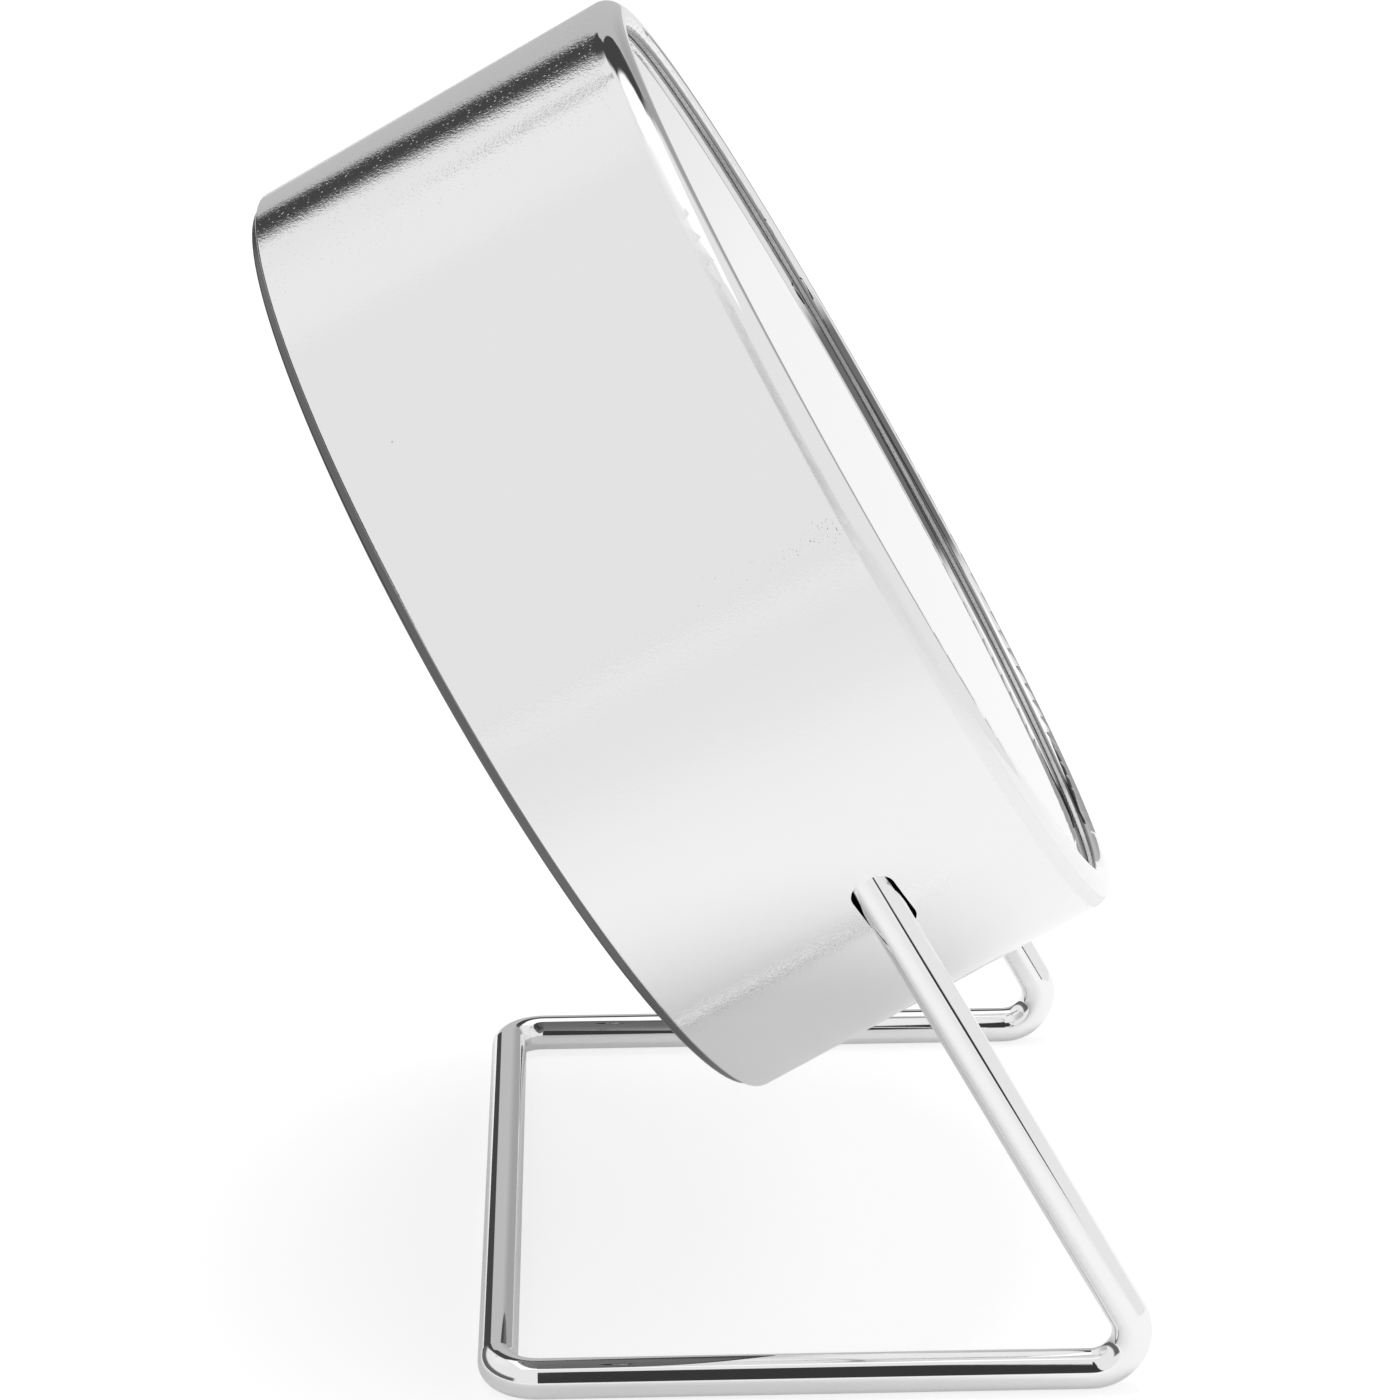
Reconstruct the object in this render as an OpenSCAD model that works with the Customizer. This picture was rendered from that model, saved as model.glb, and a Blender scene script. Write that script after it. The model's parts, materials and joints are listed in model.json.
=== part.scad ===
// Countertop mirror: a round mirror in a deep chromed drum, which is plugged
// onto the two legs of one bent wire stand and leans back at a fixed angle.
// The stand rests on z = 0, the mirror faces -Y and up, X runs across the drum,
// and the origin is the middle of the footprint.

/* [Drum] */
// Outside diameter of the drum
drum_d = 170; // [160:1:180]
// Depth of the drum, from its rear edge to the crest of its rim
drum_depth = 66.5; // [62:0.5:72]
// Thickness of the drum's steel
drum_wall = 1; // [0.8:0.1:1.2]
// Outside radius where the side rolls over into the rim
rim_outer_r = 3.5; // [3:0.25:4]
// Radius where the rim rolls down into the opening
rim_inner_r = 1.5; // [1.3:0.1:1.7]
// Width of the rim, from the outside of the drum to the opening
rim_w = 5.75; // [5.5:0.25:6.25]
// Radius of the drum's rear edge
rear_edge_r = 0.6; // [0.6:0.1:1.2]
// Width of the flange turned in at the rear
rear_flange_w = 6; // [5:0.5:8]
// Angle that the mirror leans back from upright
lean = 29.4; // [26:0.2:33]
// Height of the drum's centre above the table
head_height = 121; // [118:0.5:126]

/* [Mirror] */
// Depth of the glass below the crest of the rim
glass_inset = 2; // [2:0.1:2.4]
// Thickness of the glass
glass_t = 3; // [2:0.5:4]
// Gap between the edge of the glass and the drum's wall
glass_gap = 1.2; // [1:0.1:2]
// Chamfer ground on the edge of the glass
glass_chamfer = 0.4; // [0.2:0.1:0.6]
// Thickness of the film on the back of the glass
film_t = 0.2; // [0.1:0.05:0.3]
// Thickness of the backing board
board_t = 3; // [2:0.5:4]
// Thickness of the foam ring
foam_t = 4; // [3:0.5:5]

/* [Stand] */
// Diameter of the wire
wire_d = 6.5; // [6:0.1:6.8]
// Distance between the two legs, centre to centre
leg_spacing = 142.6; // [138:0.2:144]
// Distance from the front corners to the rear bar, centre to centre
base_length = 105.8; // [100:0.2:112]
// Radius of every bend, at the middle of the wire
bend_r = 6.5; // [5:0.5:8]
// Distance of the legs in front of the middle of the drum's depth
leg_plane = 4.5; // [3:0.5:6]
// Distance of the legs' top ends below the drum's centre
leg_top = 8.4; // [7:0.1:10]
// Width of the slot around each leg
slot_w = 7.2; // [7:0.1:8]
// Radius of the slot's corners
slot_corner_r = 2.9; // [2:0.1:3.4]
// Distance of the slot's upper end below the drum's centre
slot_top = 40.1; // [39:0.1:40.4]
// Length of the slot, measured along the leg
slot_length = 13.2; // [12.5:0.1:15]

/* [Leg sockets] */
// Inside radius of each bush
bush_bore_r = 3.3; // [3.3:0.01:3.4]
// Wall thickness of each bush
bush_wall = 1.2; // [1.1:0.1:1.3]
// Wall thickness of each socket
socket_wall = 1; // [0.8:0.1:1]
// Length of each socket, without its closed end
socket_length = 24; // [18:1:24]
// Gap between a leg's end and the closed end of its socket
leg_end_gap = 0.5; // [0.3:0.1:1]
// Thickness of the bracket steel
bracket_t = 1.5; // [1:0.25:2]

/* [Rear cover] */
// Gap from the drum's outside to the cover's edge
cover_step = 1.3; // [1:0.1:2]
// Height of the cover above the drum's rear edge
cover_proud = 1.4; // [1.4:0.1:2]
// Radius of the cover's edge
cover_edge_r = 0.5; // [0.5:0.1:1]
// Thickness of the cover's steel
cover_t = 1; // [0.8:0.1:1]
// Radius of the circle on which the cover's screws lie
screw_circle_r = 62; // [60:0.5:66]

/* [Hidden] */

$fn = 64;
fine_fn = 180;
eps = 0.01;

function hundredths(length) = round(100 * length) / 100;

drum_r = drum_d / 2;
inner_r = drum_r - drum_wall;
opening_r = drum_r - rim_w;
front_z = drum_depth / 2;
rear_z = -drum_depth / 2;
lip_z = front_z - rim_inner_r;

// The mirror's layers, from the front to the back
glass_r = inner_r - glass_gap;
glass_front_z = front_z - glass_inset;
glass_back_z = glass_front_z - glass_t;
film_back_z = glass_back_z - film_t;
board_back_z = film_back_z - board_t;
foam_back_z = board_back_z - foam_t;
foam_inner_r = 62;
gasket_w = 3;
gasket_show = 0.35;

clamp_t = 1.2;
clamp_back_z = foam_back_z - clamp_t;
clamp_outer_r = inner_r - 0.1;
clamp_inner_r = 56;
clamp_flange_h = 10;
clamp_lip_h = 5;

// The stand: the front corners, where the middles of a leg and a runner would meet
wire_r = wire_d / 2;
leg_x = leg_spacing / 2;
leg_chamfer = 0.6;
drop = head_height - wire_r;
corner_dy = -(drop * sin(lean) + leg_plane) / cos(lean);
corner_along_leg = drop * cos(lean) - corner_dy * sin(lean);
front_tangent = bend_r / tan((90 - lean) / 2);
leg_length = corner_along_leg - front_tangent - leg_top - leg_chamfer;
runner_length = base_length - front_tangent - bend_r;

// Where the footprint ends at the front and at the back, from the drum's centre
cover_r = drum_r - cover_step;
cover_back_z = rear_z - cover_proud;
front_reach = corner_dy + front_tangent - bend_r - wire_r;
rear_reach = (-cover_back_z - cover_edge_r) * cos(lean) + (cover_r - cover_edge_r) * sin(lean) + cover_edge_r;
runner_start_y = hundredths(corner_dy + front_tangent - (front_reach + rear_reach) / 2);
runner_end_y = runner_start_y + hundredths(runner_length);
head_y = runner_start_y - front_tangent - corner_dy;

// The sockets
bush_outer_r = bush_bore_r + bush_wall;
socket_bore_r = bush_outer_r + 0.02;
socket_outer_r = socket_bore_r + socket_wall;
socket_end_y = -leg_top + leg_end_gap;
socket_mouth_y = socket_end_y - socket_length;
bush_flange_t = 1;
grip_ring_r = 0.5;
grip_ring_y = socket_mouth_y + 3;

bracket_y = [socket_mouth_y + 2, socket_end_y - 1];
bracket_outer_x = 76;
bracket_inner_x = leg_x - socket_outer_r - bracket_t;
rivet_r = 1.6;
rivet_x = 71;
rivet_inset = 5;

post_r = 3.5;
post_spigot_r = 2;
screw_r = 1.5;
screw_length = 10;
screw_head_r = 2.8;
screw_head_h = 1.7;
recess_r = 6;
recess_depth = 2;
screw_seat_z = cover_back_z + recess_depth;
post_end_z = screw_seat_z + cover_t;
locating_ring_h = 3;
panel_r = 50;
panel_depth = 0.8;

// Puts the drum's own frame in place: its z runs out of the mirror, its y up
// the mirror's face.
module in_head() {
    translate([0, head_y, head_height]) rotate([90 - lean, 0, 0]) children();
}

module ring(outer_r, inner_r, low_z, high_z) {
    translate([0, 0, low_z]) difference() {
        cylinder(r = outer_r, h = high_z - low_z, $fn = fine_fn);
        translate([0, 0, -1]) cylinder(r = inner_r, h = high_z - low_z + 2, $fn = fine_fn);
    }
}

// A rectangle between two corners
module block(low, high) {
    translate(low) square(high - low);
}

module rounded_rectangle(size, r) {
    half = size / 2 - [r, r];
    square([size[0], 2 * half[1]], center = true);
    square([2 * half[0], size[1]], center = true);
    for (sx = [-1, 1])
        for (sy = [-1, 1])
            translate([sx * half[0], sy * half[1]]) circle(r = r);
}

// A rod along y between two distances
module rod_y(r, low_y, high_y) {
    translate([0, low_y, 0]) rotate([-90, 0, 0]) cylinder(r = r, h = high_y - low_y);
}

// Half section of the drum's outside
module drum_outline() {
    block([0, rear_z + rear_edge_r], [drum_r, front_z - rim_outer_r]);
    block([0, front_z - rim_outer_r - eps], [drum_r - rim_outer_r, front_z]);
    block([0, rear_z], [drum_r - rear_edge_r, rear_z + rear_edge_r + eps]);
    translate([drum_r - rim_outer_r, front_z - rim_outer_r]) circle(r = rim_outer_r);
    translate([drum_r - rear_edge_r, rear_z + rear_edge_r]) circle(r = rear_edge_r);
}

// Half section of the space inside the drum, up to the underside of the rim
module drum_hollow() {
    roll_r = rim_outer_r - drum_wall;
    lip_centre_r = opening_r + rim_inner_r;
    block([0, rear_z + drum_wall], [inner_r, front_z - rim_outer_r]);
    block([0, front_z - rim_outer_r - eps], [inner_r - roll_r, lip_z]);
    block([lip_centre_r, lip_z - eps], [inner_r - roll_r, front_z - drum_wall]);
    translate([inner_r - roll_r, front_z - rim_outer_r]) circle(r = roll_r);
    translate([lip_centre_r, lip_z]) circle(r = rim_inner_r - drum_wall);
}

module drum_section() {
    difference() {
        drum_outline();
        drum_hollow();
        block([0, lip_z - 1], [opening_r, front_z + 1]);
        difference() {
            block([0, lip_z], [opening_r + rim_inner_r, front_z + 1]);
            translate([opening_r + rim_inner_r, lip_z]) circle(r = rim_inner_r);
        }
        block([0, rear_z - 1], [inner_r - rear_flange_w, rear_z + drum_wall + eps]);
    }
}

// The hole for a leg: a slot with round corners, cleared along the leg where it
// passes through the curved wall at a slant
module leg_slot() {
    translate([drum_r - 10, -slot_top - slot_length / 2, leg_plane])
        rotate([0, 90, 0])
            linear_extrude(height = 30, center = true)
                rounded_rectangle([slot_w, slot_length], slot_corner_r);
    translate([leg_x, 0, leg_plane]) rod_y(slot_w / 2, -slot_top - slot_length / 2, -leg_top);
}

module drum_shell() {
    color("silver") in_head() difference() {
        rotate_extrude($fn = fine_fn) drum_section();
        leg_slot();
        mirror([1, 0, 0]) leg_slot();
    }
}

module rim_gasket() {
    color("dimgray") in_head()
        ring(opening_r + gasket_show + gasket_w, opening_r + gasket_show, glass_front_z, lip_z);
}

module mirror_glass() {
    color("lightsteelblue") in_head() rotate_extrude($fn = fine_fn) polygon([
        [0, glass_back_z],
        [glass_r - glass_chamfer, glass_back_z],
        [glass_r, glass_back_z + glass_chamfer],
        [glass_r, glass_front_z - glass_chamfer],
        [glass_r - glass_chamfer, glass_front_z],
        [0, glass_front_z]
    ]);
}

module disc(r, low_z, high_z) {
    translate([0, 0, low_z]) cylinder(r = r, h = high_z - low_z, $fn = fine_fn);
}

module safety_film() {
    color("slategray") in_head() disc(glass_r - 1, film_back_z, glass_back_z);
}

module backing_board() {
    color("peru") in_head() disc(glass_r - 0.3, board_back_z, film_back_z);
}

module foam_ring() {
    color("darkslategray") in_head() ring(glass_r - 1, foam_inner_r, foam_back_z, board_back_z);
}

// Half section of the clamp ring: a flat web with a flange at each edge
module clamp_section() {
    bend = clamp_t;
    difference() {
        block([clamp_outer_r - clamp_t, foam_back_z - clamp_flange_h], [clamp_outer_r, foam_back_z]);
        difference() {
            block([clamp_outer_r - bend, foam_back_z - bend], [clamp_outer_r + 1, foam_back_z + 1]);
            translate([clamp_outer_r - bend, foam_back_z - bend]) circle(r = bend);
        }
    }
    block([clamp_inner_r, clamp_back_z], [clamp_outer_r - clamp_t + eps, foam_back_z]);
    block([clamp_inner_r, foam_back_z - clamp_lip_h], [clamp_inner_r + clamp_t, foam_back_z]);
}

module clamp_ring() {
    color("lightgray") in_head() difference() {
        rotate_extrude($fn = fine_fn) clamp_section();
        at_screws() translate([0, 0, clamp_back_z - 1]) cylinder(r = post_spigot_r, h = clamp_t + 2);
        at_rivets() translate([0, 0, clamp_back_z - 1]) cylinder(r = rivet_r, h = clamp_t + 2);
    }
}

module at_screws() {
    for (angle = [90, 210, 330])
        rotate([0, 0, angle]) translate([screw_circle_r, 0, 0]) children();
}

module at_rivets() {
    for (side = [-1, 1])
        for (y = [bracket_y[0] + rivet_inset, bracket_y[1] - rivet_inset])
            translate([side * rivet_x, y, 0]) children();
}

// A pressed bracket: a foot on the clamp ring, a wall, and a saddle round the socket
module leg_bracket() {
    length = bracket_y[1] - bracket_y[0];
    difference() {
        union() {
            translate([bracket_inner_x, bracket_y[0], clamp_back_z - bracket_t])
                cube([bracket_outer_x - bracket_inner_x, length, bracket_t]);
            translate([bracket_inner_x, bracket_y[0], leg_plane])
                cube([bracket_t, length, clamp_back_z - leg_plane]);
            translate([leg_x, 0, leg_plane]) intersection() {
                rod_y(socket_outer_r + bracket_t, bracket_y[0], bracket_y[1]);
                translate([-2 * socket_outer_r, bracket_y[0], -2 * socket_outer_r])
                    cube([2 * socket_outer_r, length, 2 * socket_outer_r]);
            }
        }
        translate([leg_x, 0, leg_plane]) rod_y(socket_outer_r, bracket_y[0] - 1, bracket_y[1] + 1);
        at_rivets() translate([0, 0, clamp_back_z - bracket_t - 1]) cylinder(r = rivet_r, h = bracket_t + 2);
    }
}

module left_bracket() {
    color("gainsboro") in_head() mirror([1, 0, 0]) leg_bracket();
}

module right_bracket() {
    color("gainsboro") in_head() leg_bracket();
}

module leg_socket() {
    translate([leg_x, 0, leg_plane]) difference() {
        rod_y(socket_outer_r, socket_mouth_y, socket_end_y + socket_wall);
        rod_y(socket_bore_r, socket_mouth_y - 1, socket_end_y);
    }
}

module left_socket() {
    color("darkgray") in_head() mirror([1, 0, 0]) leg_socket();
}

module right_socket() {
    color("darkgray") in_head() leg_socket();
}

module leg_bush() {
    groove_r = bush_bore_r + 2 * grip_ring_r + 0.05;
    groove_half = grip_ring_r + 0.05;
    translate([leg_x, 0, leg_plane]) difference() {
        union() {
            rod_y(bush_outer_r, socket_mouth_y - bush_flange_t, socket_end_y - 1);
            rod_y(socket_outer_r, socket_mouth_y - bush_flange_t, socket_mouth_y);
        }
        rod_y(bush_bore_r, socket_mouth_y - bush_flange_t - 1, socket_end_y);
        rod_y(groove_r, grip_ring_y - groove_half, grip_ring_y + groove_half);
    }
}

module left_bush() {
    color("ivory") in_head() mirror([1, 0, 0]) leg_bush();
}

module right_bush() {
    color("ivory") in_head() leg_bush();
}

module grip_ring() {
    translate([leg_x, grip_ring_y, leg_plane]) rotate([-90, 0, 0]) rotate_extrude()
        translate([bush_bore_r + grip_ring_r + 0.02, 0]) circle(r = grip_ring_r);
}

module left_grip_ring() {
    color("black") in_head() mirror([1, 0, 0]) grip_ring();
}

module right_grip_ring() {
    color("black") in_head() grip_ring();
}

module bracket_rivets() {
    head_r = 2.8;
    head_h = 1.1;
    seat_z = clamp_back_z - bracket_t;
    color("gray") in_head() at_rivets() rotate_extrude() polygon([
        [0, seat_z - head_h],
        [head_r / 2, seat_z - head_h],
        [head_r, seat_z - head_h / 3],
        [head_r, seat_z],
        [rivet_r, seat_z],
        [rivet_r, foam_back_z],
        [0, foam_back_z]
    ]);
}

module cover_posts() {
    color("darkgray") in_head() at_screws() difference() {
        union() {
            translate([0, 0, post_end_z]) cylinder(r = post_r, h = clamp_back_z - post_end_z, $fn = 6);
            translate([0, 0, clamp_back_z - 1]) cylinder(r = post_spigot_r, h = clamp_t + 1);
        }
        translate([0, 0, post_end_z - 1]) cylinder(r = screw_r, h = screw_length + 2);
    }
}

// Half section of the cover: a lid with a rounded edge, a locating ring and a sunk middle
module cover_section() {
    ring_r = inner_r - rear_flange_w - 0.3;
    inside_z = cover_back_z + cover_t;
    difference() {
        union() {
            block([0, cover_back_z], [cover_r - cover_edge_r, rear_z]);
            block([0, cover_back_z + cover_edge_r], [cover_r, rear_z]);
            translate([cover_r - cover_edge_r, cover_back_z + cover_edge_r]) circle(r = cover_edge_r);
        }
        block([0, inside_z], [cover_r - cover_t, rear_z + 1]);
        block([0, rear_z], [cover_r + 1, rear_z + 1]);
        block([-1, cover_back_z - 1], [panel_r, cover_back_z + panel_depth]);
    }
    block([0, cover_back_z + panel_depth], [panel_r + cover_t, cover_back_z + panel_depth + cover_t]);
    block([ring_r - cover_t, inside_z - eps], [ring_r, rear_z + locating_ring_h]);
}

module rear_cover() {
    color("silver") in_head() difference() {
        union() {
            rotate_extrude($fn = fine_fn) cover_section();
            at_screws() translate([0, 0, cover_back_z + cover_t / 2])
                cylinder(r = recess_r + cover_t, h = recess_depth + cover_t / 2);
        }
        at_screws() translate([0, 0, cover_back_z - 1]) cylinder(r = recess_r, h = recess_depth + 1);
        at_screws() translate([0, 0, cover_back_z]) cylinder(r = screw_r + 0.2, h = recess_depth + cover_t + 1);
    }
}

module cover_screws() {
    slot = [3.2, 0.7, 1];
    head_z = screw_seat_z - screw_head_h;
    color("lightgray") in_head() at_screws() difference() {
        union() {
            translate([0, 0, head_z]) cylinder(r1 = screw_head_r - 0.5, r2 = screw_head_r, h = 0.5);
            translate([0, 0, head_z + 0.5]) cylinder(r = screw_head_r, h = screw_head_h - 0.5);
            translate([0, 0, screw_seat_z - 0.5]) cylinder(r = screw_r - 0.05, h = screw_length + 0.5);
        }
        for (turn = [0, 90])
            rotate([0, 0, turn]) translate([0, 0, head_z]) cube([slot[0], slot[1], 2 * slot[2]], center = true);
    }
}

module wire_bend(angle) {
    rotate_extrude(angle = angle) translate([bend_r, 0]) circle(r = wire_r);
}

// A leg and the bend at its foot, drawn from the runner's front end upwards. The
// leg starts a little inside the bend and is a hair thicker, so the two join.
module stand_leg() {
    leg_r = wire_r + eps;
    lap = 10 * eps;
    rotate([0, 90, 0]) mirror([0, 1, 0]) {
        wire_bend(90 + lean);
        rotate([0, 0, 90 + lean]) translate([bend_r, 0, 0]) rotate([-90, 0, 0]) {
            translate([0, 0, -lap]) cylinder(r = leg_r, h = lap + leg_length);
            translate([0, 0, leg_length]) cylinder(r1 = leg_r, r2 = leg_r - leg_chamfer, h = leg_chamfer);
        }
    }
}

// The part of the stand at x > 0
module stand_side() {
    translate([leg_x, runner_start_y, wire_r + bend_r]) stand_leg();
    translate([leg_x, 0, wire_r]) rod_y(wire_r, runner_start_y, runner_end_y);
    translate([leg_x - bend_r, runner_end_y, wire_r]) wire_bend(90);
}

module wire_stand() {
    color("whitesmoke") union() {
        stand_side();
        mirror([1, 0, 0]) stand_side();
        translate([bend_r - leg_x, runner_end_y + bend_r, wire_r]) rotate([0, 90, 0])
            cylinder(r = wire_r, h = leg_spacing - 2 * bend_r);
    }
}

drum_shell();
rim_gasket();
mirror_glass();
safety_film();
backing_board();
foam_ring();
clamp_ring();
left_bracket();
right_bracket();
left_socket();
right_socket();
left_bush();
right_bush();
left_grip_ring();
right_grip_ring();
bracket_rivets();
cover_posts();
rear_cover();
cover_screws();
wire_stand();
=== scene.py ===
"""Countertop mirror: a round mirror in a deep chromed drum on a bent wire stand.

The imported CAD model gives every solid. This script gives each one its finish,
and adds the shooting table, the studio light and the camera.
"""

from __future__ import annotations

import json
import logging
import math
from dataclasses import dataclass, field
from enum import Enum
from typing import Any, Sequence

import bpy
from mathutils import Matrix, Vector

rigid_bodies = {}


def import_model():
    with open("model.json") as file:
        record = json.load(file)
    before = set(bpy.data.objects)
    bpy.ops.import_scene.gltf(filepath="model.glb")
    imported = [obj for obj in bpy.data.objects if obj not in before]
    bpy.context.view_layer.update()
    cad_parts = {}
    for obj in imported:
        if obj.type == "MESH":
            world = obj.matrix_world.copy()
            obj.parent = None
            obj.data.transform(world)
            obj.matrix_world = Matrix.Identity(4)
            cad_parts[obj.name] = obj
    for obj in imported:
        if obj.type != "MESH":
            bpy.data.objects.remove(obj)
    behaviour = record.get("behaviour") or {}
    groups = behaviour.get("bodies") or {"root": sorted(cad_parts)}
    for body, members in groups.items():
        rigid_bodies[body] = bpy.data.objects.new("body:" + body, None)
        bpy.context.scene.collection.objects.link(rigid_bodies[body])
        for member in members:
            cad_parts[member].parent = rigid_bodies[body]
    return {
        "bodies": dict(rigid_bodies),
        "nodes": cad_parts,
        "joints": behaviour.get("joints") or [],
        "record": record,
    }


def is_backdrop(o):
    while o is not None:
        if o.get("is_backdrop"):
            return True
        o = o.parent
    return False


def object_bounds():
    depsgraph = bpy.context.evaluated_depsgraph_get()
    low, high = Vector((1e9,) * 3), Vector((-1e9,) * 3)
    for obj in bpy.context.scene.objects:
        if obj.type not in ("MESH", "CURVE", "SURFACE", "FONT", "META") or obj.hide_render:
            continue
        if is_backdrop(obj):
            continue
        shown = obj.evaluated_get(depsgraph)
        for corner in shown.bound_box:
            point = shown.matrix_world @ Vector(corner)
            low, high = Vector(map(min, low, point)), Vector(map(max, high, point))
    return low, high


LOG = logging.getLogger("countertop_mirror")

Triple = tuple[float, float, float]
Colour = Triple
# A stretch over which something comes in: where it is absent, then where it is full
Span = tuple[float, float]

ACROSS = Vector((1.0, 0.0, 0.0))
UPRIGHT = Vector((0.0, 0.0, 1.0))
TABLE_MIDDLE = Vector((0.0, 0.0, 0.0))

# The drum's own frame: its middle, the way up its face and the way out of its mirror
LEAN = math.radians(29.4)
HEAD_MIDDLE = Vector((0.0, -0.00048, 0.121))
HEAD_UP = Vector((0.0, math.sin(LEAN), math.cos(LEAN)))
HEAD_OUT = Vector((0.0, -math.cos(LEAN), math.sin(LEAN)))

# Depths in the drum, from its middle towards the mirror: where its side rolls
# over into the rim, and where the lip ends inside the rim
RIM_START = 0.02975
LIP_END = 0.03175


def grey(level: float, warmth: float = 0.0) -> Colour:
    """Returns a grey of that level, a little warmer or cooler than neutral."""
    return (level * (1 + warmth), level, level * (1 - warmth))


def scaled(colour: Colour, share: float) -> Colour:
    """Returns a colour with each channel multiplied by a share."""
    return tuple(channel * share for channel in colour)


PIT_TONE = grey(0.30)
# The tone of the painted shade and painted dark reflections on the drum's rear edge, its lip and the
# gasket
PAINTED_SHADE_TONE = grey(0.10)


# ---------------------------------------------------------------- shader maths


class Value:
    """A number in a shader, on which Python's operators add Math nodes."""

    def __init__(self, net: "Net", socket: bpy.types.NodeSocket) -> None:
        """Wraps an output socket of a net.

        Args:
            net: The net that the socket belongs to.
            socket: The output that carries the number.
        """
        self.net = net
        self.socket = socket

    def __add__(self, other: Any) -> "Value":
        """Returns self + other."""
        return self.net.math("ADD", self, other)

    def __radd__(self, other: Any) -> "Value":
        """Returns other + self."""
        return self.net.math("ADD", other, self)

    def __sub__(self, other: Any) -> "Value":
        """Returns self - other."""
        return self.net.math("SUBTRACT", self, other)

    def __rsub__(self, other: Any) -> "Value":
        """Returns other - self."""
        return self.net.math("SUBTRACT", other, self)

    def __mul__(self, other: Any) -> "Value":
        """Returns self * other."""
        return self.net.math("MULTIPLY", self, other)

    def __rmul__(self, other: Any) -> "Value":
        """Returns other * self."""
        return self.net.math("MULTIPLY", other, self)

    def __truediv__(self, other: Any) -> "Value":
        """Returns self / other."""
        return self.net.math("DIVIDE", self, other)

    def __abs__(self) -> "Value":
        """Returns the size of self, without its sign."""
        return self.net.math("ABSOLUTE", self)


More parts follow.
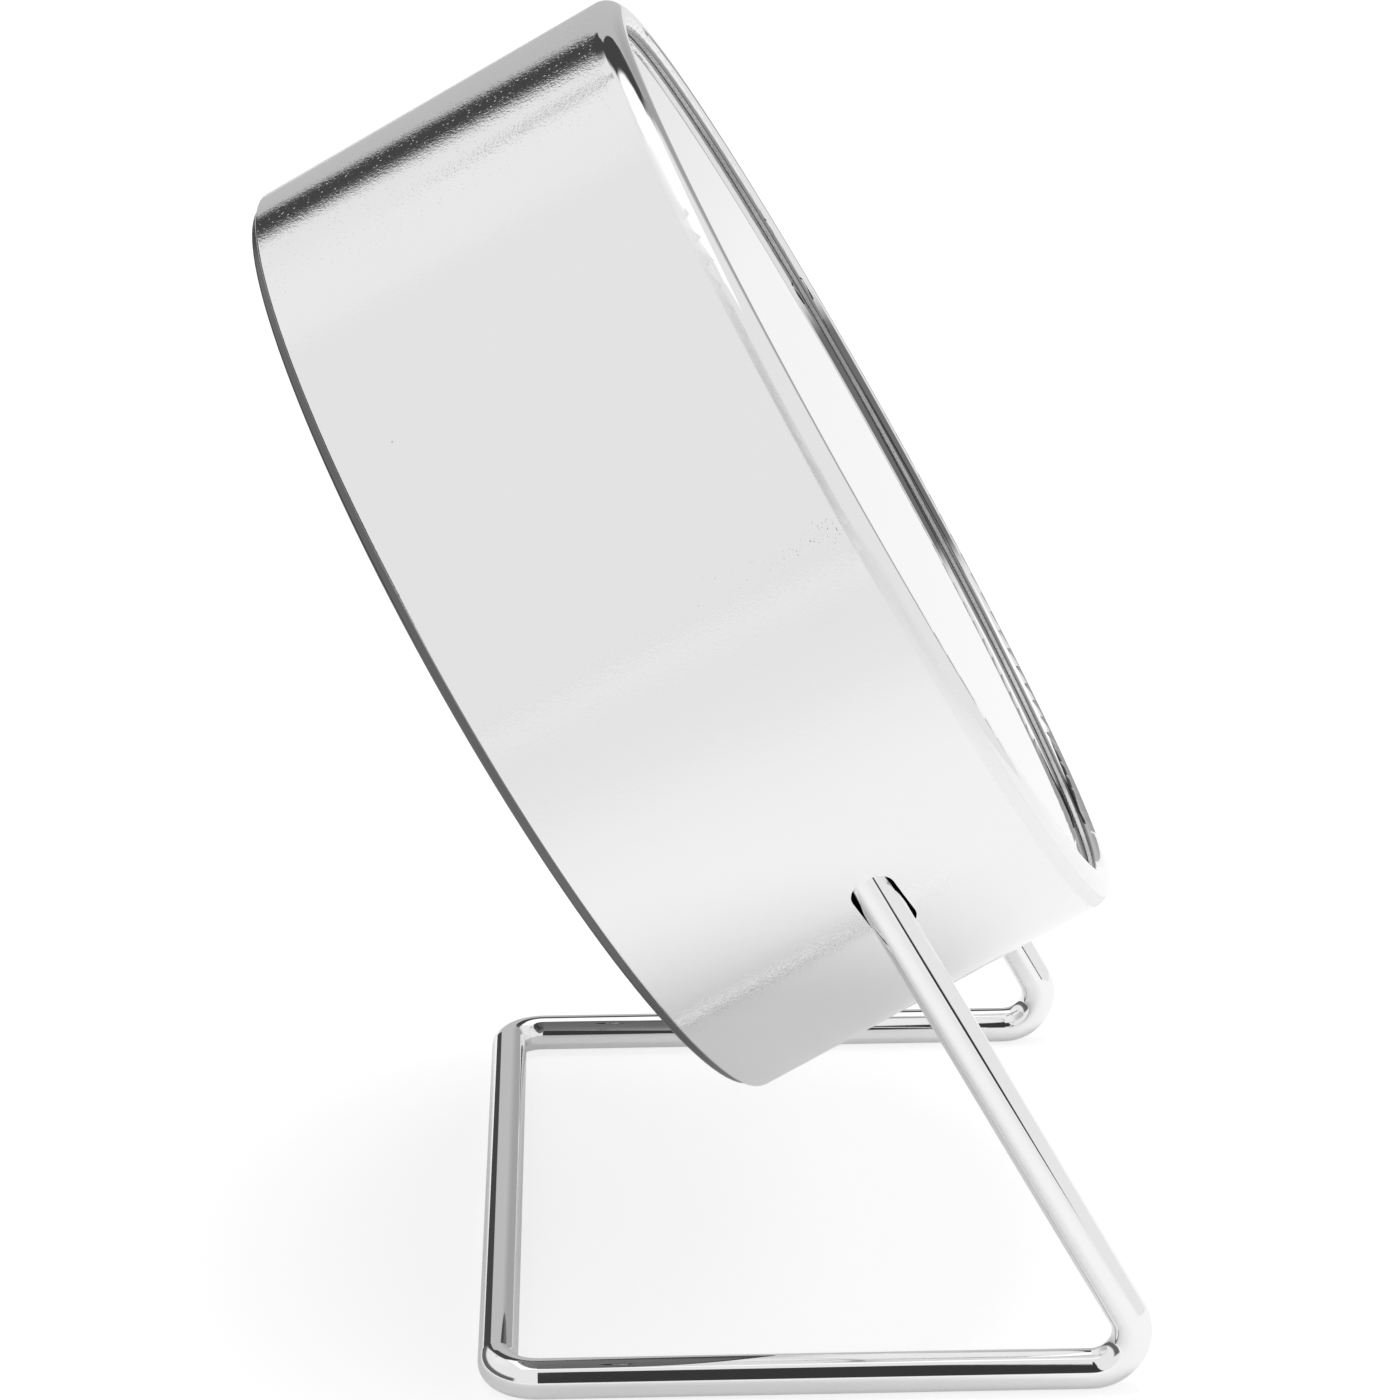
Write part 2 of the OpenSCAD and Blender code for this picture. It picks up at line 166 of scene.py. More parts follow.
class Net:
    """A node tree that is built from Python expressions."""

    def __init__(self, tree: bpy.types.NodeTree) -> None:
        """Takes over a tree and empties it.

        Args:
            tree: The node tree of a material or a world.
        """
        self.tree = tree
        tree.nodes.clear()

    def node(self, kind: str, settings: dict[str, Any] | None = None,
             inputs: dict[Any, Any] | None = None) -> bpy.types.Node:
        """Adds one node.

        Args:
            kind: The node's type.
            settings: Properties that are set before its sockets are filled.
            inputs: Socket names or numbers, each with a value or a link.

        Returns:
            The new node.
        """
        made = self.tree.nodes.new(kind)
        for name, value in (settings or {}).items():
            setattr(made, name, value)
        self.fill(made, inputs or {})
        return made

    def fill(self, node: bpy.types.Node, inputs: dict[Any, Any]) -> None:
        """Links or sets the input sockets of a node.

        Args:
            node: The node.
            inputs: Socket names or numbers, each with a value or a link.
        """
        for name, value in inputs.items():
            socket = node.inputs[name]
            if isinstance(value, Value):
                self.tree.links.new(value.socket, socket)
            elif isinstance(value, bpy.types.NodeSocket):
                self.tree.links.new(value, socket)
            elif isinstance(value, tuple) and len(value) == 3 and socket.type == "RGBA":
                socket.default_value = (*value, 1.0)
            else:
                socket.default_value = value

    def math(self, operation: str, *values: Any) -> Value:
        """Adds a Math node for one operation.

        Args:
            operation: The Math node's operation.
            values: Its one, two or three operands.

        Returns:
            The result.
        """
        made = self.node("ShaderNodeMath", {"operation": operation}, dict(enumerate(values)))
        return Value(self, made.outputs[0])

    def vector_math(self, operation: str, *values: Any) -> Value:
        """Adds a Vector Math node for an operation that gives a number.

        Args:
            operation: The Vector Math node's operation.
            values: Its one or two operands.

        Returns:
            The result.
        """
        made = self.node("ShaderNodeVectorMath", {"operation": operation}, dict(enumerate(values)))
        return Value(self, made.outputs["Value"])

    def step(self, value: Any, absent: float, full: float) -> Value:
        """Adds a smooth step between two places, in either order.

        Args:
            value: The place that is tested.
            absent: The place where the result is 0.
            full: The place where the result is 1.

        Returns:
            A number from 0 to 1.
        """
        made = self.node("ShaderNodeMapRange", {"interpolation_type": "SMOOTHSTEP"}, {
            "Value": value,
            "From Min": min(absent, full),
            "From Max": max(absent, full),
        })
        rise = Value(self, made.outputs[0])
        return rise if absent < full else 1 - rise

    def between(self, value: Any, low: float, high: float, soft: float) -> Value:
        """Tests for a stretch with soft ends.

        Args:
            value: The place that is tested.
            low: The middle of the stretch's lower end.
            high: The middle of its upper end.
            soft: Half the width of each end.

        Returns:
            1 in the stretch and 0 outside it.
        """
        return self.step(value, low - soft, low + soft) * self.step(value, high + soft, high - soft)

    def mix(self, factor: Any, first: Any, second: Any) -> bpy.types.NodeSocket:
        """Mixes two colours.

        Args:
            factor: The share of the second, from 0 to 1.
            first: A colour or link.
            second: A colour or link.

        Returns:
            The mixed colour's socket.
        """
        made = self.node("ShaderNodeMix", {"data_type": "RGBA"}, {0: factor, 6: first, 7: second})
        return made.outputs[2]

    def place(self) -> bpy.types.NodeSocket:
        """Returns the place on the piece, in metres."""
        return self.node("ShaderNodeTexCoord").outputs["Object"]

    def along(self, way: Vector, origin: Vector) -> Value:
        """Measures how far a point lies from an origin along one way, in metres.

        Args:
            way: The way, a unit vector.
            origin: The point that it is measured from.

        Returns:
            The distance, with its sign.
        """
        return self.vector_math("DOT_PRODUCT", self.place(), way) - origin.dot(way)

    def noise(self, scale: float, detail: float = 2.0, roughness: float = 0.5,
              stretch: Triple = (1.0, 1.0, 1.0)) -> Value:
        """Adds noise in the piece's own space.

        Args:
            scale: Waves per metre.
            detail: Number of finer layers.
            roughness: Strength of the finer layers.
            stretch: How much denser the noise is along each axis.

        Returns:
            A number around 0.5.
        """
        where = self.node("ShaderNodeMapping", {}, {"Vector": self.place(), "Scale": stretch})
        made = self.node("ShaderNodeTexNoise", {}, {
            "Vector": where.outputs[0],
            "Scale": scale,
            "Detail": detail,
            "Roughness": roughness,
        })
        return Value(self, made.outputs["Fac"])

    def cells(self, spacing: float) -> Value:
        """Adds round cells in the piece's own space.

        Args:
            spacing: Usual distance between the cells' middles, in metres.

        Returns:
            The distance from the nearest middle, as a share of the spacing.
        """
        made = self.node("ShaderNodeTexVoronoi", {}, {"Vector": self.place(), "Scale": 1 / spacing})
        return Value(self, made.outputs["Distance"])

    def spots(self, spacing: float, size: float) -> Value:
        """Scatters round spots.

        Args:
            spacing: Usual distance between spots, in metres.
            size: Radius of a spot as a share of the spacing.

        Returns:
            1 in the spots and 0 between them.
        """
        return self.step(self.cells(spacing), size, size * 0.5)

    def by_ray(self, plain: bpy.types.NodeSocket, mirrored: bpy.types.NodeSocket,
               seen: bpy.types.NodeSocket) -> bpy.types.NodeSocket:
        """Chooses a shader by the kind of ray that meets it.

        Args:
            plain: The shader for soft light.
            mirrored: The shader that shows in polished pieces.
            seen: The shader that the camera sees.

        Returns:
            The chosen shader's socket.
        """
        rays = self.node("ShaderNodeLightPath").outputs
        shiny = self.math("MAXIMUM", rays["Is Glossy Ray"], rays["Is Transmission Ray"])
        unseen = self.node("ShaderNodeMixShader", {}, {0: shiny, 1: plain, 2: mirrored})
        chosen = self.node("ShaderNodeMixShader", {}, {
            0: rays["Is Camera Ray"],
            1: unseen.outputs[0],
            2: seen,
        })
        return chosen.outputs[0]


class Grain(Enum):
    """How the surface of a plated or pressed metal is textured."""

    ORANGE_PEEL = "orange peel"
    POLISHED = "polished"
    ROLLED = "rolled"


# -------------------------------------------------------------------- finishes


@dataclass(frozen=True)
class Finish:
    """What every finish has: a name, a colour and a roughness."""

    name: str
    colour: Colour
    roughness: float

    def material(self) -> bpy.types.Material:
        """Builds the finish.

        Returns:
            A material with a node tree of its own.
        """
        made = bpy.data.materials.new(self.name)
        made.use_nodes = True
        net = Net(made.node_tree)
        shader = net.node("ShaderNodeBsdfPrincipled")
        self.paint(net, shader)
        net.node("ShaderNodeOutputMaterial", {}, {"Surface": shader.outputs[0]})
        made.diffuse_color = (*self.colour, 1.0)
        return made

    def paint(self, net: Net, shader: bpy.types.Node) -> None:
        """Fills the shader's sockets; each finish has its own way."""
        raise NotImplementedError

    def bump(self, net: Net, height: Value, depth: float) -> bpy.types.NodeSocket:
        """Turns a height into a normal.

        Args:
            net: The net to add to.
            height: The height, from 0 to 1.
            depth: Its real depth, in metres.

        Returns:
            The normal's socket.
        """
        made = net.node("ShaderNodeBump", {}, {"Strength": 1.0, "Distance": depth, "Height": height})
        return made.outputs["Normal"]


@dataclass(frozen=True)
class Plate(Finish):
    """Chrome or zinc plate over steel.

    pits is how strongly the rare pits show, and dull is the share of the
    colour that is left where the plate is at its dullest.
    """

    grain: Grain = Grain.POLISHED
    grain_depth: float = 4e-6
    pits: float = 0.0
    pit_spacing: float = 0.011
    pit_size: float = 0.022
    pit_haze: float = 0.3
    dull: float = 0.975

    def paint(self, net: Net, shader: bpy.types.Node) -> None:
        """Adds the plate's haze, its grain and its rare pits.

        Args:
            net: The net to add to.
            shader: The shader whose sockets are filled.
        """
        haze = self._haze(net)
        pit = self._pit(net)
        net.fill(shader, {
            "Base Color": self._shade(net, haze, pit),
            "Metallic": 1.0,
            "Roughness": self.roughness * (0.75 + 0.5 * haze) + pit * self.pit_haze,
            "Normal": self.bump(net, self._grain(net) - pit, self.grain_depth),
        })

    def _haze(self, net: Net) -> Value:
        """Returns the plate's slow changes, a number around 0.5."""
        return net.noise(38.0, 3.0, 0.55)

    def _pit(self, net: Net) -> Value:
        """Returns how much of a pit there is, from 0 to the pits' strength."""
        return net.spots(self.pit_spacing, self.pit_size) * self.pits

    def _shade(self, net: Net, haze: Value, pit: Value) -> bpy.types.NodeSocket:
        """Adds the plate's colour, duller in places and grey in the pits.

        Args:
            net: The net to add to.
            haze: The plate's slow changes.
            pit: How much of a pit there is.

        Returns:
            The colour's socket.
        """
        shade = net.mix(haze, scaled(self.colour, self.dull), self.colour)
        return net.mix(pit, shade, PIT_TONE)

    def _grain(self, net: Net) -> Value:
        """Adds the grain of the plate.

        Args:
            net: The net to add to.

        Returns:
            The grain's height.
        """
        if self.grain is Grain.ORANGE_PEEL:
            return net.noise(2300.0, 1.5, 0.5) + 0.6 * net.noise(800.0, 1.0, 0.5)
        if self.grain is Grain.ROLLED:
            return net.noise(900.0, 4.0, 0.6, (1.0, 0.12, 1.0))
        return net.noise(420.0, 2.0, 0.45)


@dataclass(frozen=True)
class PeeledChrome(Plate):
    """The drum's chrome: a fine orange peel, dust on its top, and painted shade and dark reflections
    at its edges.

    Depths run from the drum's middle towards the mirror, heights up from the
    table, and reaches out from the drum's axis, all in metres.
    """

    pit_spacing: float = 0.013
    pit_size: float = 0.018
    dull: float = 0.985

    # The peel, which ends in depth where the side rolls over into the rim
    peel: Span = (RIM_START, RIM_START - 0.0018)
    peel_on_rim: float = 0.02
    peel_haze: float = 0.06

    # The dust on the drum's top, by the way up the mirror's face
    dust: Span = (0.074, 0.077)
    dust_spacing: float = 0.0010
    dust_size: float = 0.20
    dust_haze: float = 0.65

    # The hazy ring at the start of the rim, in depth, and the heights at which
    # it ends and widens
    ring_start: Span = (RIM_START - 0.0004, RIM_START)
    ring_end: Span = (RIM_START + 0.0014, RIM_START + 0.0009)
    ring_top: Span = (0.200, 0.195)
    ring_widens: Span = (0.150, 0.138)
    ring_extra: float = 0.0010
    ring_haze: float = 0.36

    # The painted dark reflection at the rear edge and the painted shade on the lip,
    # in depth, and in reach for the inside of the lip's crest
    rear_painted_reflection: Span = (-0.0328, -0.0330)
    lip_front: Span = (LIP_END - 0.0004, LIP_END - 0.0002)
    lip_inside: Span = (0.0806, 0.0804)
    hem: Span = (LIP_END + 0.0006, LIP_END + 0.0003)
    hem_shade_share: float = 0.85
    painted_shade_share: float = 0.9

    # The lip's two stretches of painted dark reflection, in height and in depth
    painted_reflection_low: Span = (0.096, 0.102)
    painted_reflection_high: Span = (0.1475, 0.1375)
    painted_reflection_depth: Span = (LIP_END + 0.00125, LIP_END + 0.00105)

    def paint(self, net: Net, shader: bpy.types.Node) -> None:
        """Adds the peel, which fades on the rolled rim, the dust and pits, and the painted shade and
        dark reflections at the edges.

        Args:
            net: The net to add to.
            shader: The shader whose sockets are filled.
        """
        depth = net.along(HEAD_OUT, HEAD_MIDDLE)
        height = net.along(UPRIGHT, TABLE_MIDDLE)
        side = net.step(depth, *self.peel)
        haze = self._haze(net)
        pit = self._pit(net)
        # dark: painted dark reflection at the rear edge, and painted shade and dark reflection on the
        # lip
        dark = net.math("MAXIMUM", self._painted_lip_shade_and_reflection(net, depth, height), net.step(depth, *self.rear_painted_reflection))
        shade = self._shade(net, haze, pit)
        even = self.roughness * (0.7 + 0.6 * haze)
        ring = self._ring(net, depth, height) * self.ring_haze
        relief = self._grain(net) * (self.peel_on_rim + (1 - self.peel_on_rim) * side)
        net.fill(shader, {
            "Base Color": net.mix(dark * self.painted_shade_share, shade, PAINTED_SHADE_TONE),
            "Metallic": 1.0,
            "Roughness": even + ring + self._speckle(net) * side,
            "Normal": self.bump(net, relief - pit * side, self.grain_depth),
        })

    def _speckle(self, net: Net) -> Value:
        """Adds the haze of the peel's crests and of the dust.

        Args:
            net: The net to add to.

        Returns:
            The roughness that they add.
        """
        crests = net.step(net.noise(2700.0, 1.0, 0.5), 0.52, 0.72)
        top = net.step(net.along(HEAD_UP, HEAD_MIDDLE), *self.dust)
        dust = net.spots(self.dust_spacing, self.dust_size) * top
        return crests * self.peel_haze + dust * self.dust_haze

    def _ring(self, net: Net, depth: Value, height: Value) -> Value:
        """Finds the hazy ring at the start of the rim.

        Args:
            net: The net to add to.
            depth: The depth in the drum.
            height: The height above the table.

        Returns:
            1 in the ring and 0 outside it.
        """
        extra = self.ring_extra * net.step(height, *self.ring_widens)
        ends = net.step(depth, *self.ring_start) * net.step(depth - extra, *self.ring_end)
        return ends * net.step(height, *self.ring_top)

    def _painted_lip_shade_and_reflection(self, net: Net, depth: Value, height: Value) -> Value:
        """Finds the painted shade in the lip's hem and the painted dark reflection in its two
        stretches.

        Args:
            net: The net to add to.
            depth: The depth in the drum.
            height: The height above the table.

        Returns:
            The share of the painted shade and dark reflection.
        """
        away = net.vector_math("DISTANCE", net.place(), HEAD_MIDDLE)
        reach = net.math("SQRT", away * away - depth * depth)
        lip = net.step(depth, *self.lip_front) * net.step(reach, *self.lip_inside)
        # painted shade inside the lip's hem
        hem = net.step(depth, *self.hem) * self.hem_shade_share
        # painted dark reflection on the lip's inner slope at mid heights
        heights = net.step(height, *self.painted_reflection_low) * net.step(height, *self.painted_reflection_high)
        painted_reflection = heights * net.step(depth, *self.painted_reflection_depth)
        return lip * net.math("MAXIMUM", hem, painted_reflection)


@dataclass(frozen=True)
class Silvering(Finish):
    """Silvered mirror glass."""

    wave_depth: float = 2e-6
    dust_haze: float = 0.02

    def paint(self, net: Net, shader: bpy.types.Node) -> None:
        """Adds the bright reflection, its very slight unevenness and a trace of dust.

        Args:
            net: The net to add to.
            shader: The shader whose sockets are filled.
        """
        wave = net.noise(14.0, 2.0, 0.4)
        dust = net.step(net.noise(900.0, 3.0, 0.7), 0.62, 0.75)
        net.fill(shader, {
            "Base Color": net.mix(wave, self.colour, scaled(self.colour, 0.985)),
            "Metallic": 1.0,
            "Roughness": self.roughness + self.dust_haze * dust,
            "Normal": self.bump(net, wave, self.wave_depth),
        })


@dataclass(frozen=True)
class Moulding(Finish):
    """Moulded rubber or plastic with a fine even grain."""

    grain_size: float = 0.0004
    grain_depth: float = 1.2e-5

    def paint(self, net: Net, shader: bpy.types.Node) -> None:
        """Adds the mould's grain and the tone.

        Args:
            net: The net to add to.
            shader: The shader whose sockets are filled.
        """
        grain = net.noise(1 / self.grain_size, 2.0, 0.6)
        net.fill(shader, {
            "Base Color": self._tone(net),
            "Roughness": self.roughness * (0.85 + 0.3 * grain),
            "Normal": self.bump(net, grain, self.grain_depth),
        })

    def _tone(self, net: Net) -> bpy.types.NodeSocket:
        """Returns the colour, which changes slowly."""
        return net.mix(net.noise(60.0, 3.0, 0.6), scaled(self.colour, 0.8), self.colour)


@dataclass(frozen=True)
class DustyRubber(Moulding):
    """The gasket's grey rubber: paler where dust lies on it, with painted shade along the lip.

    dust is the level of the dusty patches, and dark is the depth in the drum
    at which the painted shade under the lip comes in.
    """

    dust: float = 0.85
    dark: Span = (0.0315, 0.0317)

    def _tone(self, net: Net) -> bpy.types.NodeSocket:
        """Adds the patches of dust and the painted shade along the lip.

        Args:
            net: The net to add to.

        Returns:
            The colour's socket.
        """
        dusty = net.step(net.noise(45.0, 2.0, 0.5), 0.42, 0.62)
        # painted shade where the lip overhangs the gasket
        edge = net.step(net.along(HEAD_OUT, HEAD_MIDDLE), *self.dark)
        return net.mix(edge, net.mix(dusty, self.colour, grey(self.dust)), PAINTED_SHADE_TONE)


@dataclass(frozen=True)
class PressedBoard(Finish):
    """Brown fibre board with flecks."""

    fibre_depth: float = 6e-5
    fleck_share: float = 0.5

    def paint(self, net: Net, shader: bpy.types.Node) -> None:
        """Adds matted fibres and darker flecks.

        Args:
            net: The net to add to.
            shader: The shader whose sockets are filled.
        """
        fibre = net.noise(1400.0, 5.0, 0.75, (1.0, 0.3, 1.0))
        fleck = net.step(net.noise(520.0, 3.0, 0.6), 0.6, 0.7)
        base = net.mix(fibre, scaled(self.colour, 0.7), self.colour)
        net.fill(shader, {
            "Base Color": net.mix(fleck * self.fleck_share, base, scaled(self.colour, 0.45)),
            "Roughness": self.roughness,
            "Normal": self.bump(net, fibre, self.fibre_depth),
        })


@dataclass(frozen=True)
class Foam(Finish):
    """Soft foam with open cells."""

    cell_size: float = 1 / 1500
    cell_depth: float = 1.5e-4

    def paint(self, net: Net, shader: bpy.types.Node) -> None:
        """Adds the cells, with painted shade in their hollow middles.

        Args:
            net: The net to add to.
            shader: The shader whose sockets are filled.
        """
        wall = net.cells(self.cell_size)
        net.fill(shader, {
            # painted shade: darker in the middles of the cells, where the bump makes hollows
            "Base Color": net.mix(wall, scaled(self.colour, 0.4), self.colour),
            "Roughness": self.roughness,
            "Normal": self.bump(net, wall, self.cell_depth),
        })


# ----------------------------------------------------------------- the mirror


@dataclass
class SubAssembly:
    """A group of CAD nodes that are finished together."""

    frame: dict[str, Any]
    finishes: dict[str, Finish] = field(default_factory=dict)

    def dress(self) -> None:
        """Gives each of the group's nodes its finish.

        Nodes with the same finish share one material.
        """
        made: dict[str, bpy.types.Material] = {}
        for node, finish in self.finishes.items():
            if finish.name not in made:
                made[finish.name] = finish.material()
            piece = self.frame["nodes"][node]
            piece.data.materials.clear()
            piece.data.materials.append(made[finish.name])
            LOG.info("%s: %s", node, finish.name)


@dataclass
class Drum(SubAssembly):
    """The drum's shell and its rear cover, with the cover's screws."""

    chrome_level: float = 0.90
    peel_depth: float = 2.2e-5
    cover_level: float = 0.15
    cover_peel: float = 0.3

    def __post_init__(self) -> None:
        """Chooses the finishes: bright on the shell, and dark satin on the cover."""
        cover_depth = self.peel_depth * self.cover_peel
        self.finishes = {
            "drum_shell": PeeledChrome("drum_chrome_peel", grey(self.chrome_level), 0.03,
                                       Grain.ORANGE_PEEL, self.peel_depth, 0.5),
            "rear_cover": Plate("cover_dark_chrome", grey(self.cover_level), 0.26,
                                Grain.ORANGE_PEEL, cover_depth),
            "cover_screws": Plate("screw_zinc", grey(0.66), 0.22, Grain.ROLLED, 3e-6),
        }


@dataclass
class MirrorPack(SubAssembly):
    """The mirror and the layers that hold it in the drum."""

    def __post_init__(self) -> None:
        """Chooses the finishes; the clamp ring and the posts share one."""
        zinc = Plate("zinc_plate", grey(0.62, -0.01), 0.28, Grain.ROLLED, 8e-6)
        self.finishes = {
            "mirror_glass": Silvering("silvered_glass", (0.865, 0.872, 0.87), 0.01),
            "rim_gasket": DustyRubber("gasket_rubber", grey(0.66), 0.55, 0.0009, 2e-6),
            "safety_film": Moulding("backing_film", (0.32, 0.34, 0.38), 0.4, 0.002, 4e-6),
            "backing_board": PressedBoard("fibre_board", (0.42, 0.29, 0.18), 0.85),
            "foam_ring": Foam("soft_foam", grey(0.10), 0.95),
            "clamp_ring": zinc,
            "cover_posts": zinc,
        }


@dataclass
class LegMounting(SubAssembly):
    """The sockets inside the drum that take the legs."""

    def __post_init__(self) -> None:
        """Chooses the finishes, the same for the left and the right leg."""
        steel = Plate("socket_zinc", grey(0.60, -0.01), 0.26, Grain.ROLLED, 7e-6)
        nylon = Moulding("bush_nylon", (0.80, 0.78, 0.72), 0.42)
        rubber = Moulding("grip_rubber", grey(0.03), 0.6)
        self.finishes = {"bracket_rivets": steel}
        for side in ("left", "right"):
            self.finishes[f"{side}_bracket"] = steel
            self.finishes[f"{side}_socket"] = steel
            self.finishes[f"{side}_bush"] = nylon
            self.finishes[f"{side}_grip_ring"] = rubber


@dataclass
class WireStand(SubAssembly):
    """The bent wire that the drum is plugged onto."""

    def __post_init__(self) -> None:
        """Chooses the finish."""
        chrome = Plate("wire_chrome", grey(0.93), 0.035, Grain.POLISHED, 1.5e-6, 0.6)
        self.finishes = {"wire_stand": chrome}


# ------------------------------------------------------------------ the studio


@dataclass
class Table:
    """The wide pale shooting table.

    It glows a little, so that the paper comes out near white. The glow grows
    by far_extra over the distances in spread, and drops by left_loss over the
    places in left_side.
    """

    low: Span = (-2.4, -0.62)
    high: Span = (3.2, 2.4)
    level: float = 0.80
    spread: Span = (0.35, 1.3)
    left_side: Span = (-0.12, -0.36)
    left_loss: float = 0.07
    far_extra: float = 0.14
    mirrored_glow: float = 0.19
    seen_level: float = 0.40
    seen_glow: float = 0.74

    def build(self) -> bpy.types.Object:
        """Makes the table top.

        Returns:
            The table, marked as stage.
        """
        bpy.ops.object.select_all(action="DESELECT")
        bpy.ops.mesh.primitive_plane_add(size=1.0)
        top = bpy.context.object
        top.name = "table_top"
        span = [b - a for a, b in zip(self.low, self.high)]
        middle = [(a + b) / 2 for a, b in zip(self.low, self.high)]
        top.data.transform(Matrix.Translation((*middle, 0.0)) @ Matrix.Diagonal((*span, 1.0, 1.0)))
        top.data.materials.append(self._surface())
        top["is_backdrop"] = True
        LOG.info("table: %.1f by %.1f m", *span)
        return top

    def _surface(self) -> bpy.types.Material:
        """Builds the matt white of the table, which keeps the shadow.

        Returns:
            The material.
        """
        made = bpy.data.materials.new("table_white")
        made.use_nodes = True
        net = Net(made.node_tree)
        spread = net.step(net.vector_math("LENGTH", net.place()), *self.spread)
        left = net.step(net.along(ACROSS, TABLE_MIDDLE), *self.left_side)
        plain = self._paper(net, self.level)
        mirrored = self._glow(net, self._paper(net, self.level), self.mirrored_glow, spread, left)
        seen = self._glow(net, self._paper(net, self.seen_level), self.seen_glow, spread, left)
        net.node("ShaderNodeOutputMaterial", {}, {"Surface": net.by_ray(plain, mirrored, seen)})
        return made

    def _paper(self, net: Net, level: float) -> bpy.types.NodeSocket:
        """Adds matt paper with faint clouds.

        Args:
            net: The net to add to.
            level: The paper's grey level.

        Returns:
            The shader's socket.
        """
        tone = net.mix(net.noise(3.0, 2.0, 0.5), grey(level), grey(level * 0.99))
        return net.node("ShaderNodeBsdfDiffuse", {}, {"Color": tone}).outputs[0]

    def _glow(self, net: Net, paper: bpy.types.NodeSocket, glow: float, spread: Value,
              left: Value) -> bpy.types.NodeSocket:
        """Adds a glow to paper.

        Args:
            net: The net to add to.
            paper: The paper's shader.
            glow: The glow close to the mirror.
            spread: 0 close to the mirror and 1 far away, where the lamp falls off.
            left: 1 on the left side of the set, which is a little dimmer.

        Returns:
            The shader's socket.
        """
        near = net.mix(left, grey(glow), grey(glow - self.left_loss))
        tone = net.mix(spread, near, grey(glow + self.far_extra))
        lift = net.node("ShaderNodeEmission", {}, {"Color": tone})
        return net.node("ShaderNodeAddShader", {}, {0: paper, 1: lift.outputs[0]}).outputs[0]


@dataclass(frozen=True)
class Card:
    """A card, gap or panel round the set, as polished metal sees it.

    The sides are compass angles and heights in degrees. The compass starts at
    +X and turns towards +Y. tone is the card's brightness, and soft is half
    the width of its edges.
    """

    name: str
    left: float
    right: float
    low: float
    high: float
    tone: float
    soft: float = 3.0


@dataclass
class Surround:
    """The white tent round the set, with its grey and black cards.

    Each card is laid over the ones before it. The lamp's panel on the roof is
    given by its sides, on a roof one metre above the set.
    """

    fill: float = 0.58
    white: float = 0.86
    lamp_tone: float = 1.18
    lamp_across: Span = (-0.17, 0.85)
    lamp_along: Span = (-0.58, 0.38)
    lamp_soft: float = 0.04
    horizon: float = 0.01
    cards: tuple[Card, ...] = (
        Card("high_pale_panel", 34.0, 72.0, 36.0, 56.0, 0.91, 7.0),
        Card("low_dark_panel_behind", 22.0, 135.0, -6.0, 17.0, 0.135, 4.0),
        Card("grey_border_of_black_card", -31.0, -24.0, -90.0, 44.0, 0.38, 2.5),
        Card("black_card_on_right", -26.0, 28.0, -90.0, 49.0, 0.06, 2.6),
        Card("grey_card_on_black_card", -26.0, 18.8, -90.0, 31.5, 0.53, 0.5),
        Card("soft_grey_card", -40.0, -14.0, -30.0, 30.0, 0.38, 8.0),
        Card("small_grey_patch", 35.0, 39.0, 38.8, 41.2, 0.50, 0.6),
        Card("black_strip_at_horizon", -142.0, -127.0, -4.0, 0.6, 0.03, 0.8),
        Card("tall_black_card_on_left", 177.5, 190.0, 1.0, 62.0, 0.04, 1.0),
    )

    def build(self) -> None:
        """Makes the world.

        Soft light is one even white, the camera sees plain white, and
        polished pieces mirror the tent with its cards.
        """
        world = bpy.data.worlds.new("studio_tent")
        bpy.context.scene.world = world
        world.use_nodes = True
        net = Net(world.node_tree)
        tone = self._tone(net)
        tent = net.node("ShaderNodeCombineColor", {}, {0: tone, 1: tone, 2: tone}).outputs[0]
        fill = self._light(net, grey(1.0), self.fill)
        cards = self._light(net, tent, 1.0)
        backdrop = self._light(net, grey(1.0), 1.0)
        net.node("ShaderNodeOutputWorld", {}, {"Surface": net.by_ray(fill, cards, backdrop)})
        LOG.info("studio tent: %d cards", len(self.cards))

    @staticmethod
    def _light(net: Net, colour: Any, strength: float) -> bpy.types.NodeSocket:
        """Returns the shader of a light from all round."""
        return net.node("ShaderNodeBackground", {}, {"Color": colour, "Strength": strength}).outputs[0]

    def _tone(self, net: Net) -> Value:
        """Adds the tent's brightness in each direction.

        Args:
            net: The net to add to.

        Returns:
            The brightness.
        """
        way = net.node("ShaderNodeTexCoord").outputs["Generated"]
        axes = net.node("ShaderNodeSeparateXYZ", {}, {0: way})
        x, y, z = (Value(net, out) for out in axes.outputs)
        turn = net.math("ARCTAN2", y, x) * (180 / math.pi)
        height = net.math("ARCSINE", z) * (180 / math.pi)
        up = net.math("MAXIMUM", z, self.horizon)
        across = net.between(x / up, *self.lamp_across, self.lamp_soft)
        along = net.between(y / up, *self.lamp_along, self.lamp_soft)
        tone = self.white + across * along * (self.lamp_tone - self.white)
        for card in self.cards:
            tone = tone + self._inside(net, card, turn, height) * (card.tone - tone)
        return tone

    @staticmethod
    def _inside(net: Net, card: Card, turn: Value, height: Value) -> Value:
        """Tests whether a direction meets a card.

        Args:
            net: The net to add to.
            card: The card.
            turn: The direction's compass angle, in degrees.
            height: Its height above the horizon, in degrees.

        Returns:
            1 inside the card and 0 outside it.
        """
        middle = (card.left + card.right) / 2
        half = (card.right - card.left) / 2
        away = abs(net.math("WRAP", turn - middle, 180.0, -180.0))
        inside = net.step(away, half + card.soft, half - card.soft)
        inside = inside * net.step(height, card.high + card.soft, card.high - card.soft)
        if card.low > -90:
            inside = inside * net.step(height, card.low - card.soft, card.low + card.soft)
        return inside


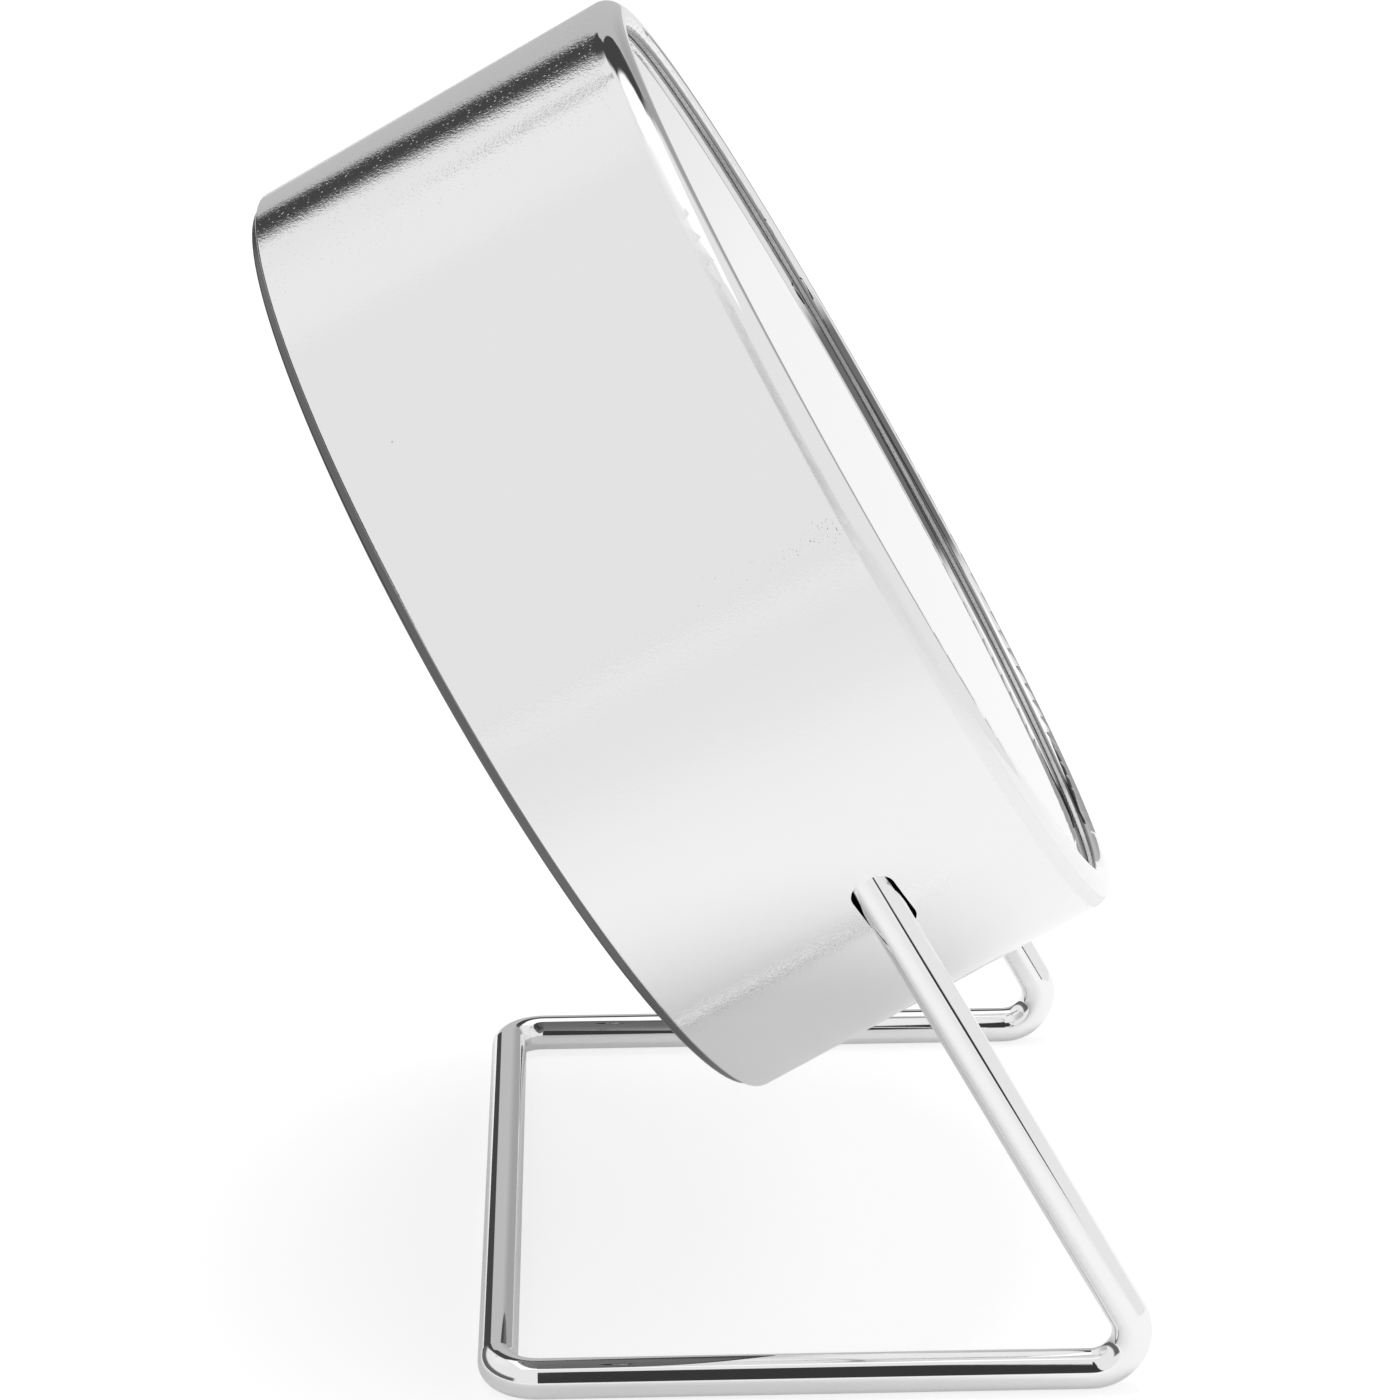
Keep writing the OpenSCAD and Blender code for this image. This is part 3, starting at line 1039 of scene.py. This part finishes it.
@dataclass
class SoftLamp:
    """The large soft lamp over the set."""

    place: Vector = field(default_factory=lambda: Vector((0.12, -0.10, 1.4)))
    side: float = 0.7
    power: float = 9.5

    def build(self, target: Vector) -> bpy.types.Object:
        """Hangs the lamp.

        Args:
            target: The point that it is aimed at.

        Returns:
            The lamp.
        """
        data = bpy.data.lights.new("soft_lamp", "AREA")
        data.shape = "SQUARE"
        data.size = self.side
        data.energy = self.power
        lamp = bpy.data.objects.new("soft_lamp", data)
        lamp.location = self.place
        lamp.rotation_euler = (target - self.place).to_track_quat("-Z", "Y").to_euler()
        lamp.visible_glossy = False
        bpy.context.scene.collection.objects.link(lamp)
        LOG.info("soft lamp: %.1f W", self.power)
        return lamp


@dataclass
class StudioCamera:
    """The camera, at the mirror's left side and a little above it.

    The angles are in radians: turn from +X towards +Y, dip below the level,
    and roll about the way ahead. lens and sensor are in millimetres.
    """

    place: Vector = field(default_factory=lambda: Vector((-0.6701, 0.0167, 0.3129)))
    turn: float = -0.0266
    dip: float = 0.3168
    roll: float = -0.0068
    lens: float = 107.45
    sensor: float = 36.0
    clip: Span = (0.01, 20.0)

    def build(self) -> bpy.types.Object:
        """Sets up the camera and makes it the scene's.

        Returns:
            The camera.
        """
        ahead = Vector((
            math.cos(self.turn) * math.cos(self.dip),
            math.sin(self.turn) * math.cos(self.dip),
            -math.sin(self.dip),
        ))
        level = ahead.cross(UPRIGHT).normalized()
        above = level.cross(ahead)
        right = level * math.cos(self.roll) + above * math.sin(self.roll)
        up = above * math.cos(self.roll) - level * math.sin(self.roll)
        data = bpy.data.cameras.new("studio_camera")
        data.sensor_width = self.sensor
        data.lens = self.lens
        data.clip_start, data.clip_end = self.clip
        camera = bpy.data.objects.new("studio_camera", data)
        facing = Matrix((right, up, -ahead)).transposed().to_4x4()
        camera.matrix_world = Matrix.Translation(self.place) @ facing
        bpy.context.scene.collection.objects.link(camera)
        bpy.context.scene.camera = camera
        LOG.info("camera: %.1f mm", self.lens)
        return camera


def main() -> None:
    """Builds the scene in order.
    """
    logging.basicConfig(level=logging.INFO, format="%(name)s: %(message)s")
    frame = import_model()
    cad_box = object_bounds()
    for group in (Drum(frame), MirrorPack(frame), LegMounting(frame), WireStand(frame)):
        group.dress()
    Table().build()
    Surround().build()
    SoftLamp().build((cad_box[0] + cad_box[1]) / 2)
    StudioCamera().build()
    bpy.context.scene.view_settings.view_transform = "Standard"


if __name__ == "__main__":
    main()
